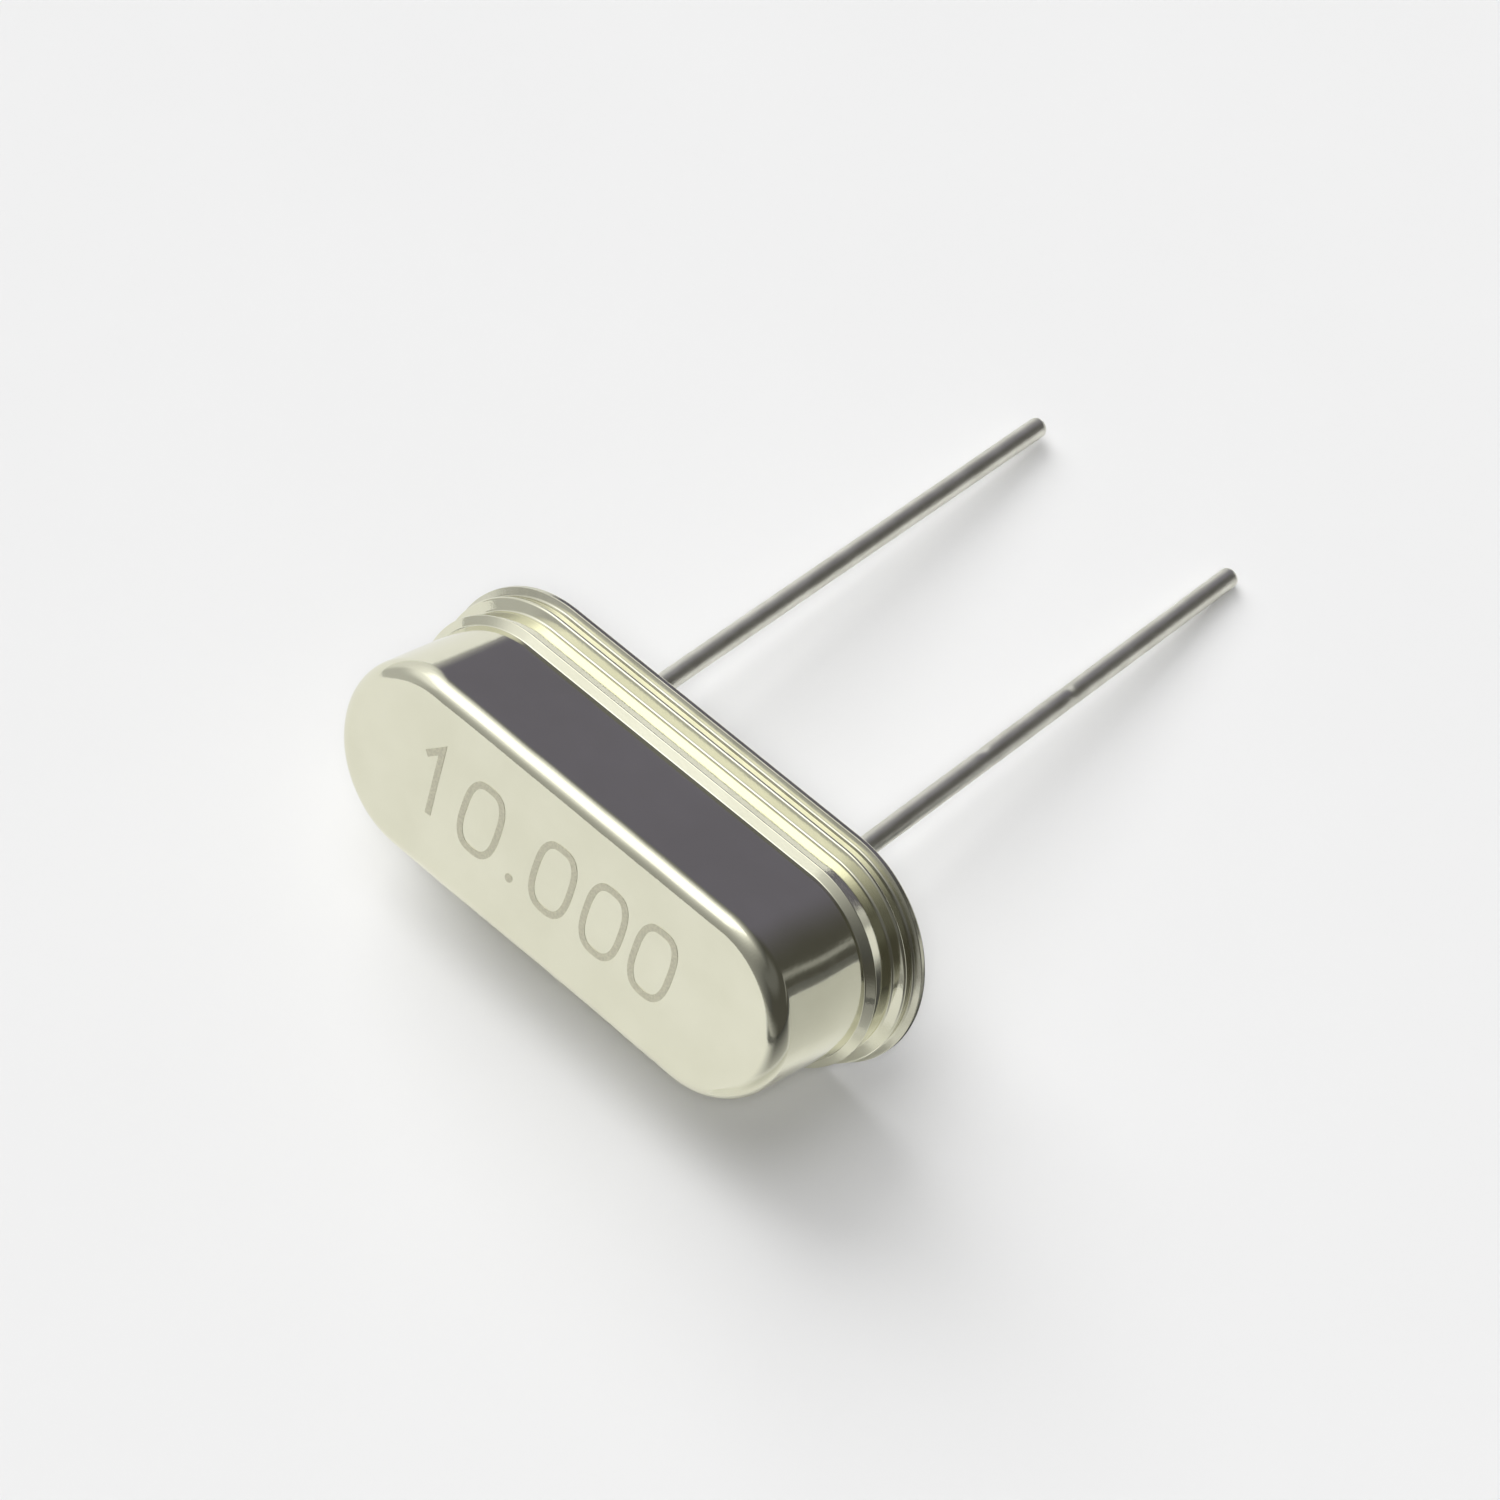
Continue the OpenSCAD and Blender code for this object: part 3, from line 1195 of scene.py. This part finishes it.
@dataclass
class Marking:
    """Plain numbers that a laser leaves on the can's top: a thin film along each stroke."""

    seat: Seat
    can: Can
    text: tuple[tuple[Glyph, float], ...] = (  # each character and its middle's x
        (Glyph.ONE, -2.80),
        (Glyph.ZERO, -1.70),
        (Glyph.POINT, -0.82),
        (Glyph.ZERO, 0.01),
        (Glyph.ZERO, 1.20),
        (Glyph.ZERO, 2.34),
    )
    middle: float = 0.05
    height: float = 1.30
    width: float = 0.80
    squareness: float = 2.8  # of a nought: 2 is an ellipse, and more fills out its corners
    one_line: tuple[Span, ...] = ((-0.34, 0.30), (-0.05, 0.5), (0.05, -0.5))  # y in heights
    stroke: float = 0.13
    point_radius: float = 0.62  # in strokes
    point_lift: float = 0.06
    zero_parts: int = 72
    point_parts: int = 24
    film: float = 0.006

    def zero(self) -> tuple[np.ndarray, np.ndarray]:
        """A nought.

        Returns:
            Its outer and its inner edge.
        """
        angle = round_angles(self.zero_parts)
        half = (self.width / 2, self.height / 2)
        ways = np.column_stack([np.cos(angle), np.sin(angle)])
        line = np.sign(ways) * np.abs(ways) ** (2 / self.squareness) * half
        along = np.roll(line, -1, 0) - np.roll(line, 1, 0)
        out = unit(np.column_stack([along[:, 1], -along[:, 0]])) * self.stroke / 2
        return line + out, line - out

    def one(self) -> tuple[np.ndarray, np.ndarray]:
        """A one: a short flag, a corner and a stem.

        Returns:
            The two edges of its stroke.
        """
        line = np.array(self.one_line) * [1, self.height]
        ways = unit(np.diff(line, axis=0))
        sides = np.column_stack([-ways[:, 1], ways[:, 0]])
        mitre = unit(sides[:1] + sides[1:])
        mitre /= (mitre * sides[:1]).sum()
        out = np.vstack([sides[:1], mitre, sides[1:]]) * self.stroke / 2
        return line + out, line - out

    def dot(self) -> tuple[np.ndarray, np.ndarray]:
        """The point.

        Returns:
            Its edge, and its middle as often.
        """
        angle = round_angles(self.point_parts)
        ways = np.column_stack([np.cos(angle), np.sin(angle)])
        base = np.array([0.0, -self.height / 2 + self.point_lift])
        edge = ways * self.stroke * self.point_radius + base
        return edge, np.broadcast_to(base, edge.shape)

    def lifted(self, flat: np.ndarray, rise: float) -> np.ndarray:
        """Points of the marking laid on the can's uneven top.

        Args:
            flat: Rows of x and y.
            rise: How far above the top they lie.

        Returns:
            The points in upright millimetres.
        """
        points = np.column_stack([flat, np.full(len(flat), self.can.top)])
        laid, _ = self.can.unevenness(points, np.broadcast_to(UP, points.shape))
        return laid + rise * UP

    def build(self) -> bpy.types.Object:
        """Builds the marking and dresses it.

        Returns:
            The marking's object.
        """
        skin = Skin()
        shapes = {Glyph.ONE: self.one, Glyph.ZERO: self.zero, Glyph.POINT: self.dot}
        for glyph, x in self.text:
            first, second = (edge + [x, self.middle] for edge in shapes[glyph]())
            sides = ((first, -1), (first, 1), (second, 1), (second, -1), (first, -1))
            ring = np.stack([self.lifted(edge, side * self.film) for edge, side in sides], axis=1)
            out = unit(np.pad(first - second, ((0, 0), (0, 1))))
            up = np.broadcast_to(UP, out.shape)
            closed = glyph is not Glyph.ONE
            for k, normal in enumerate((out, up, -out, -up)):
                skin.add_grid(ring[:, k : k + 2], np.stack([normal, normal], 1), closed)
            if not closed:
                for row, away in ((0, first[0] - first[1]), (-1, first[-1] - first[-2])):
                    skin.add_flat(ring[row, :4][None], unit(np.array([*away, 0.0])))
        piece = skin.build("frequency_marking", self.seat)
        dress(piece, LASER_MARK.build(self.seat))
        place(piece, "can_nickel")
        return piece


@dataclass
class Inside:
    """What the can hides: clips, quartz strip, its films and the beads that hold it."""

    seat: Seat
    nodes: dict

    def dress(self) -> None:
        """Gives each hidden CAD node its finish."""
        finishes = {
            SPRING_METAL: ("clip_left", "clip_right"),
            QUARTZ: ("quartz_blank",),
            SILVER_FILM: ("electrode_top", "electrode_bottom"),
            SILVER_ADHESIVE: ("adhesive_left", "adhesive_right"),
        }
        for finish, names in finishes.items():
            material = finish.build(self.seat)
            for name in names:
                dress(self.nodes[name], material)
                LOG.info("%s keeps its CAD shape, dressed in %s", name, finish.name)


# ---------------------------------------------------------------- studio


def heading(azimuth: float, elevation: float) -> Vector:
    """A direction in the room.

    Args:
        azimuth: Its bearing in degrees, clockwise from +y.
        elevation: Its height in degrees.

    Returns:
        The direction, of length one.
    """
    bearing, up = math.radians(azimuth), math.radians(elevation)
    level = math.cos(up)
    return Vector((math.sin(bearing) * level, math.cos(bearing) * level, math.sin(up)))


def stand(
    name: str, mesh: bpy.types.Mesh, material: bpy.types.Material, mirror_only: bool = False
) -> None:
    """Puts a piece of the studio in place.

    Args:
        name: Its name.
        mesh: Its mesh.
        material: Its material.
        mirror_only: Whether it shows only in the metal's reflections.
    """
    mesh.materials.append(material)
    thing = bpy.data.objects.new(name, mesh)
    bpy.context.scene.collection.objects.link(thing)
    if mirror_only:
        thing.visible_camera = False
        thing.visible_diffuse = False
        thing.visible_shadow = False
        thing.visible_volume_scatter = False


def painted_sheet(
    name: str, points: np.ndarray, paint: np.ndarray, closed: bool = False
) -> bpy.types.Mesh:
    """A grid of points as a mesh with a colour at each point.

    Args:
        name: Its name.
        points: Array (columns, rows, 3) in metres.
        paint: Red, green, blue and cover of each point, as an array (columns, rows, 4).
        closed: Whether the last column joins the first.

    Returns:
        The mesh.
    """
    columns, rows = points.shape[:2]
    mesh = bpy.data.meshes.new(name)
    faces = [
        tuple(i % columns * rows + j for i, j in ((c, r), (c + 1, r), (c + 1, r + 1), (c, r + 1)))
        for c in range(columns if closed else columns - 1)
        for r in range(rows - 1)
    ]
    mesh.from_pydata(points.reshape(-1, 3).tolist(), [], faces)
    colours = mesh.color_attributes.new(PAINT, "FLOAT_COLOR", "POINT")
    colours.data.foreach_set("color", paint.ravel())
    return mesh


@dataclass(frozen=True)
class Panel:
    """A soft-edged patch of the room, by bearing and height in degrees."""

    middle: float
    half: float
    low: float
    high: float
    level: float
    blur: Span  # width of its soft edge at the sides, and at its foot and head
    tint: Colour = (1.0, 1.0, 1.0)

    def share(self, azimuth: np.ndarray, elevation: np.ndarray) -> np.ndarray:
        """How much of the patch covers each direction.

        Args:
            azimuth: The directions' bearings.
            elevation: Their heights.

        Returns:
            The shares.
        """
        away = np.abs((azimuth - self.middle + 180) % 360 - 180)
        side, foot, head = (
            (edge - blur / 2, edge + blur / 2)
            for edge, blur in zip((self.half, self.low, self.high), (*self.blur, self.blur[1]))
        )
        return (1 - smooth_step(*side, away)) * band(foot, head, elevation)


@dataclass(frozen=True)
class Ceiling:
    """The bright cloth overhead: it fades outward from an oval up and to the left.

    Places are the x and y of a direction of length one.
    """

    middle: float = -0.40
    half: float = 0.60
    far: Span = (-0.29, 0.617)  # where its far side is measured from, and how wide
    near: Span = (0.213, 1.0)
    level: float = 1.15  # at the rim
    rim: float = 0.667  # in half widths from the middle
    fade: float = 0.40  # in half widths, over which the light falls to a third
    most: float = 2.2

    def glow(self, x: np.ndarray, y: np.ndarray) -> np.ndarray:
        """The cloth's brightness.

        Args:
            x: How far each direction points to the right.
            y: How far it points to the back.

        Returns:
            The brightness towards each direction.
        """
        beyond = np.maximum((y - self.far[0]) / self.far[1], (self.near[0] - y) / self.near[1])
        away = np.hypot((x - self.middle) / self.half, beyond)
        return np.minimum(self.level * np.exp((self.rim - away) / self.fade), self.most)


@dataclass(frozen=True)
class Room:
    """The dome that only mirrors see: bright to the left and above, dim beyond."""

    radius: float = 0.45
    columns: int = 180
    rows: int = 121
    crowding: float = 1.3  # above 1, rows lie closer together near the floor
    dim: float = 0.075
    dim_tint: Colour = (1.0, 0.97, 0.88)
    panels: tuple[Panel, ...] = (
        Panel(-40, 50, -20, 62, 0.15, (40, 20), (1.03, 0.98, 1.32)),
        Panel(110, 60, 34, 58, 0.14, (40, 16)),
        Panel(180, 35, -20, 6, 0.50, (50, 18)),
        Panel(20, 40, 6, 9, 0.34, (30, 3)),
        Panel(-97, 54, -20, 95, 0.50, (12, 10)),
        Panel(-72, 26, -20, 32, 0.76, (16, 14)),
        Panel(-101.5, 48.5, 28, 95, 0.95, (24, 22)),
        Panel(-112, 42, 46, 95, 1.60, (30, 14)),
    )
    ceiling: Ceiling = Ceiling()

    def light(self, azimuth: np.ndarray, elevation: np.ndarray, ways: np.ndarray) -> np.ndarray:
        """The room's light, each panel laid over those before it and the ceiling over all.

        Args:
            azimuth: Bearings in degrees, as an array (columns, 1).
            elevation: Heights in degrees, as an array (1, rows).
            ways: The same directions as an array (columns, rows, 3).

        Returns:
            Red, green, blue and a full cover towards each direction.
        """
        tone = np.ones(ways.shape) * self.dim_tint * self.dim
        for panel in self.panels:
            share = panel.share(azimuth, elevation)[..., None]
            tone = tone * (1 - share) + np.array(panel.tint) * panel.level * share
        tone = np.maximum(tone, self.ceiling.glow(ways[..., 0], ways[..., 1])[..., None])
        return np.concatenate([tone, np.ones((*tone.shape[:2], 1))], -1)

    def build(self) -> None:
        """Builds the dome."""
        azimuth = np.linspace(-180, 180, self.columns, endpoint=False)[:, None]
        elevation = 90 * np.linspace(0, 1, self.rows)[None, :] ** self.crowding
        bearing, up = np.radians(azimuth), np.radians(elevation)
        ways = (np.sin(bearing) * np.cos(up), np.cos(bearing) * np.cos(up), np.sin(up))
        ways = np.stack(np.broadcast_arrays(*ways), -1)
        paint = self.light(azimuth, elevation, ways)
        mesh = painted_sheet("room", ways * self.radius, paint, closed=True)
        nodes = Nodes("room_glow")
        glow = nodes.add("ShaderNodeEmission")
        tint = nodes.add("ShaderNodeAttribute", attribute_name=PAINT)
        nodes.link(tint.outputs["Color"], glow.inputs["Color"])
        stand("room", mesh, nodes.close(glow), mirror_only=True)


@dataclass(frozen=True)
class PaintedReflection:
    """Painted reflections to the right that only mirrors see: white by the can, black beyond, clear
    elsewhere.
    The white is a painted reflection of light, and the black close by is painted shade of the floor
    beside and under the can.

    Lengths are in millimetres. Bearings are in degrees, clockwise from +y about the sheet's middle,
    and a reach is a distance from that middle.
    """

    middle: Span = (4.2, -6.5)
    level: float = 0.02
    bearings: Span = (0.0, 190.0)
    reaches: Span = (1.0, 440.0)
    columns: int = 145
    rows: int = 96

    # painted shade of the floor to the right, seen only in the metal, and a dark stretch further off
    side_bearing: float = 97.0  # middle of the black
    side_fade: Span = (30.0, 82.0)  # bearings off it
    side_start: Span = (2.0, 3.5)
    look_height: float = 3.0  # of the metal that mirrors it, which sets how steeply it looks down
    floor_seen: float = 0.05  # share of the floor that is left in a level look
    floor_seen_more: float = 0.0165  # and how much more is left for each degree down
    far_start: Span = (34.0, 40.0)
    far_fade: Span = (70.0, 95.0)
    far_share: float = 0.86

    # painted shade of the floor under the flange's rim, seen only in the metal
    rim_from: Span = (6.45, -3.35)  # a point of the line past which the flange's rim mirrors black
    rim_slope: float = 0.93
    rim_blur: Span = (0.09, 0.015)  # half the line's soft edge, and how much more for each reach
    rim_start: Span = (2.3, 2.9)
    rim_end: Span = (7.0, 14.0)
    rim_share: float = 0.92

    # painted reflection of light by the can, seen only in the metal
    white: float = 0.80
    white_blue: float = 0.97
    white_start: Span = (1.0, 2.0)
    faint: float = 1e-6  # least cover that has a tone of its own
    spoke: tuple[Span, Span] = ((36.0, 42.0), (56.0, 80.0))  # bearings of a white strip
    spoke_end: Span = (28.0, 36.0)
    close_bearing: Span = (10.0, 30.0)  # where the white by the can begins
    close_end: Span = (3.4, 6.0)

    def side(self, bearing: np.ndarray, reach: np.ndarray) -> np.ndarray:
        """The black to the right, painted shade of the floor by the can, through which some floor
        shows in a steep look.

        Args:
            bearing: Bearings of the points.
            reach: Their reaches.

        Returns:
            The share that is black.
        """
        away = np.abs(bearing - self.side_bearing)
        down = np.degrees(np.arctan2(self.look_height, reach))
        cover = 1 - np.clip(self.floor_seen + self.floor_seen_more * down, 0, 1)
        near = cover * (1 - smooth_step(*self.side_fade, away)) * smooth_step(*self.side_start, reach)
        far = smooth_step(*self.far_start, reach) * (1 - smooth_step(*self.far_fade, away))
        return np.maximum(near, self.far_share * far)

    def rim(self, x: np.ndarray, y: np.ndarray, reach: np.ndarray) -> np.ndarray:
        """The stretch that the flange's rim mirrors, past a straight line: painted shade of the floor
        under the flange.

        Args:
            x: The points' x.
            y: Their y.
            reach: Their reaches.

        Returns:
            How much of each point lies in it.
        """
        beyond = (y - self.rim_from[1]) - self.rim_slope * (x - self.rim_from[0])
        blur = self.rim_blur[0] + self.rim_blur[1] * reach
        return smooth_step(-1, 1, beyond / blur) * band(self.rim_start, self.rim_end, reach)

    def light(self, bearing: np.ndarray, reach: np.ndarray) -> np.ndarray:
        """The white close to the can, and a strip that runs out from it: a painted reflection of
        light.

        Args:
            bearing: Bearings of the points.
            reach: Their reaches.

        Returns:
            The share that is white.
        """
        strip = band(*self.spoke, bearing) * (1 - smooth_step(*self.spoke_end, reach))
        close = smooth_step(*self.close_bearing, bearing) * (1 - smooth_step(*self.close_end, reach))
        return np.maximum(strip, close) * smooth_step(*self.white_start, reach)

    def build(self) -> None:
        """Lays the painted reflections."""
        bearing = np.linspace(*self.bearings, self.columns)[:, None]
        reach = np.geomspace(*self.reaches, self.rows)[None, :]
        x = self.middle[0] + np.sin(np.radians(bearing)) * reach
        y = self.middle[1] + np.cos(np.radians(bearing)) * reach
        rim = self.rim(x, y, reach)
        # painted shade of the floor, seen only in the metal's reflections
        black = np.maximum(self.side(bearing, reach), self.rim_share * rim)
        # painted reflection of light, seen only in the metal
        white = self.light(bearing, reach) * (1 - rim)
        tone = self.white * white / np.maximum(white + black, self.faint)
        paint = np.stack([tone, tone, tone * self.white_blue, np.maximum(black, white)], -1)
        points = np.stack([x, y, np.full(x.shape, self.level)], -1) * MM
        nodes = Nodes("shade_card")
        clear = nodes.add("ShaderNodeBsdfTransparent")
        glow = nodes.add("ShaderNodeEmission")
        mix = nodes.add("ShaderNodeMixShader")
        painted_reflection = nodes.add("ShaderNodeAttribute", attribute_name=PAINT)
        nodes.link(painted_reflection.outputs["Color"], glow.inputs["Color"])
        nodes.link(painted_reflection.outputs["Alpha"], mix.inputs["Fac"])
        nodes.link(clear.outputs[0], mix.inputs[1])
        nodes.link(glow.outputs[0], mix.inputs[2])
        mesh = painted_sheet("shade_card", points, paint)
        stand("shade_card", mesh, nodes.close(mix), mirror_only=True)


@dataclass(frozen=True)
class Lamp:
    """A soft lamp far away: where it hangs, how wide it looks and its share of the light."""

    name: str
    azimuth: float
    elevation: float
    spread: float
    share: float

    def build(self, total: float) -> None:
        """Hangs the lamp, unseen in mirrors.

        Args:
            total: Light that all lamps and the fill give a level floor, as a share of white.
        """
        lamp = bpy.data.lights.new(self.name, "SUN")
        towards = heading(self.azimuth, self.elevation)
        lamp.energy = math.pi * total * self.share / towards.z
        lamp.angle = math.radians(self.spread)
        holder = bpy.data.objects.new(self.name, lamp)
        bpy.context.scene.collection.objects.link(holder)
        holder.rotation_euler = towards.to_track_quat("Z", "Y").to_euler()
        holder.visible_glossy = False


@dataclass
class Studio:
    """Pale floor, soft window light and the dim room that bare metal mirrors."""

    floor_reach: float = 3.0
    floor_tone: float = 0.85
    mottle: float = 0.005
    mottle_size: float = 6.0
    backdrop: float = 0.87
    total: float = 1.04  # light on a level floor, as a share of white
    fill: float = 0.08  # share of it that comes evenly from all sides
    lamps: tuple[Lamp, ...] = (
        Lamp("cloth", -110, 80, 42, 0.30),
        Lamp("window", -72, 42, 46, 0.38),
        Lamp("front", 135, 56, 14, 0.25),
    )
    room: Room = Room()
    # painted reflections of light and of the floor's shade, seen only in the metal
    painted_reflection: PaintedReflection = PaintedReflection()

    def floor(self) -> None:
        """Builds the floor: a wide plate with a faint mottle."""
        mesh = bpy.data.meshes.new("floor")
        corners = ((-1, -1), (1, -1), (1, 1), (-1, 1))
        points = [(x * self.floor_reach, y * self.floor_reach, 0) for x, y in corners]
        mesh.from_pydata(points, [], [(0, 1, 2, 3)])
        nodes = Nodes("floor_card")
        shader = nodes.add("ShaderNodeBsdfDiffuse")
        share = nodes.spread(nodes.noise(nodes.coordinates(), self.mottle_size), MOST_NOISE)
        dark, light = ((self.floor_tone * (1 + k * self.mottle),) * 3 for k in (-1, 1))
        nodes.link(nodes.blend(share, dark, light), shader.inputs["Color"])
        stand("floor", mesh, nodes.close(shader))

    def sky(self) -> None:
        """Makes the world: the pale backdrop that is seen, and a low fill that lights."""
        world = bpy.data.worlds.new("backdrop")
        world.use_nodes = True
        tree = world.node_tree
        tree.nodes.clear()
        path = tree.nodes.new("ShaderNodeLightPath")
        seen: Socket = path.outputs["Is Camera Ray"]
        for name in ("Is Glossy Ray", "Is Transmission Ray"):
            both = tree.nodes.new("ShaderNodeMath")
            both.operation = "MAXIMUM"
            tree.links.new(seen, both.inputs[0])
            tree.links.new(path.outputs[name], both.inputs[1])
            seen = both.outputs[0]
        strength = tree.nodes.new("ShaderNodeMapRange")
        strength.inputs["To Min"].default_value = self.total * self.fill
        strength.inputs["To Max"].default_value = self.backdrop
        tree.links.new(seen, strength.inputs["Value"])
        glow = tree.nodes.new("ShaderNodeBackground")
        tree.links.new(strength.outputs["Result"], glow.inputs["Strength"])
        output = tree.nodes.new("ShaderNodeOutputWorld")
        tree.links.new(glow.outputs[0], output.inputs["Surface"])
        bpy.context.scene.world = world

    def build(self) -> None:
        """Builds the floor, what the metal mirrors, the lamps and the backdrop."""
        self.floor()
        self.room.build()
        self.painted_reflection.build()
        for lamp in self.lamps:
            lamp.build(self.total)
        self.sky()


@dataclass(frozen=True)
class View:
    """The camera: its bearing and height in degrees, and its place in millimetres."""

    azimuth: float = 135.417
    elevation: float = 54.55
    distance: float = 103.27
    lens: float = 144.95
    aim_right: float = -1.617  # of the middle of the object's box
    aim_up: float = -1.355  # above it

    def build(self) -> None:
        """Sets up the camera, aimed a little off the object's middle."""
        low, high = CAD_BOX
        back = heading(self.azimuth, self.elevation)
        right = heading(self.azimuth - 90, 0)
        up = back.cross(right)
        target = (low + high) / 2 + (right * self.aim_right + up * self.aim_up) * MM
        data = bpy.data.cameras.new("camera")
        data.lens = self.lens
        data.sensor_width = 36.0
        data.clip_start, data.clip_end = 0.005, 5.0
        camera = bpy.data.objects.new("camera", data)
        bpy.context.scene.collection.objects.link(camera)
        camera.location = target + back * self.distance * MM
        camera.rotation_euler = Matrix((right, up, back)).transposed().to_euler()
        bpy.context.scene.camera = camera


def main() -> None:
    """Builds the crystal piece by piece, then the studio round it."""
    logging.basicConfig(level=logging.INFO, format="%(name)s: %(message)s")
    record = frame["record"]
    seat = Seat.from_record(record)
    can = Can(seat)
    can.build()
    header = Header(seat, can)
    nicks = {
        End.LEFT: (),
        End.RIGHT: (
            Nick(7.2, math.radians(-75), 0.03, 0.1, 0.9),
            Nick(5.0, math.radians(-105), 0.025, 0.12, 0.6),
        ),
    }
    left, right = (Lead(seat, record, end, header.top, nicks[end]) for end in End)
    header.build(pitch=right.root[0] - left.root[0])
    for lead in (left, right):
        lead.build()
        Seal(seat, lead, header).build()
    Marking(seat, can).build()
    Inside(seat, frame["nodes"]).dress()
    Studio().build()
    View().build()
    bpy.context.scene.view_settings.view_transform = "Standard"


if __name__ == "__main__":
    main()
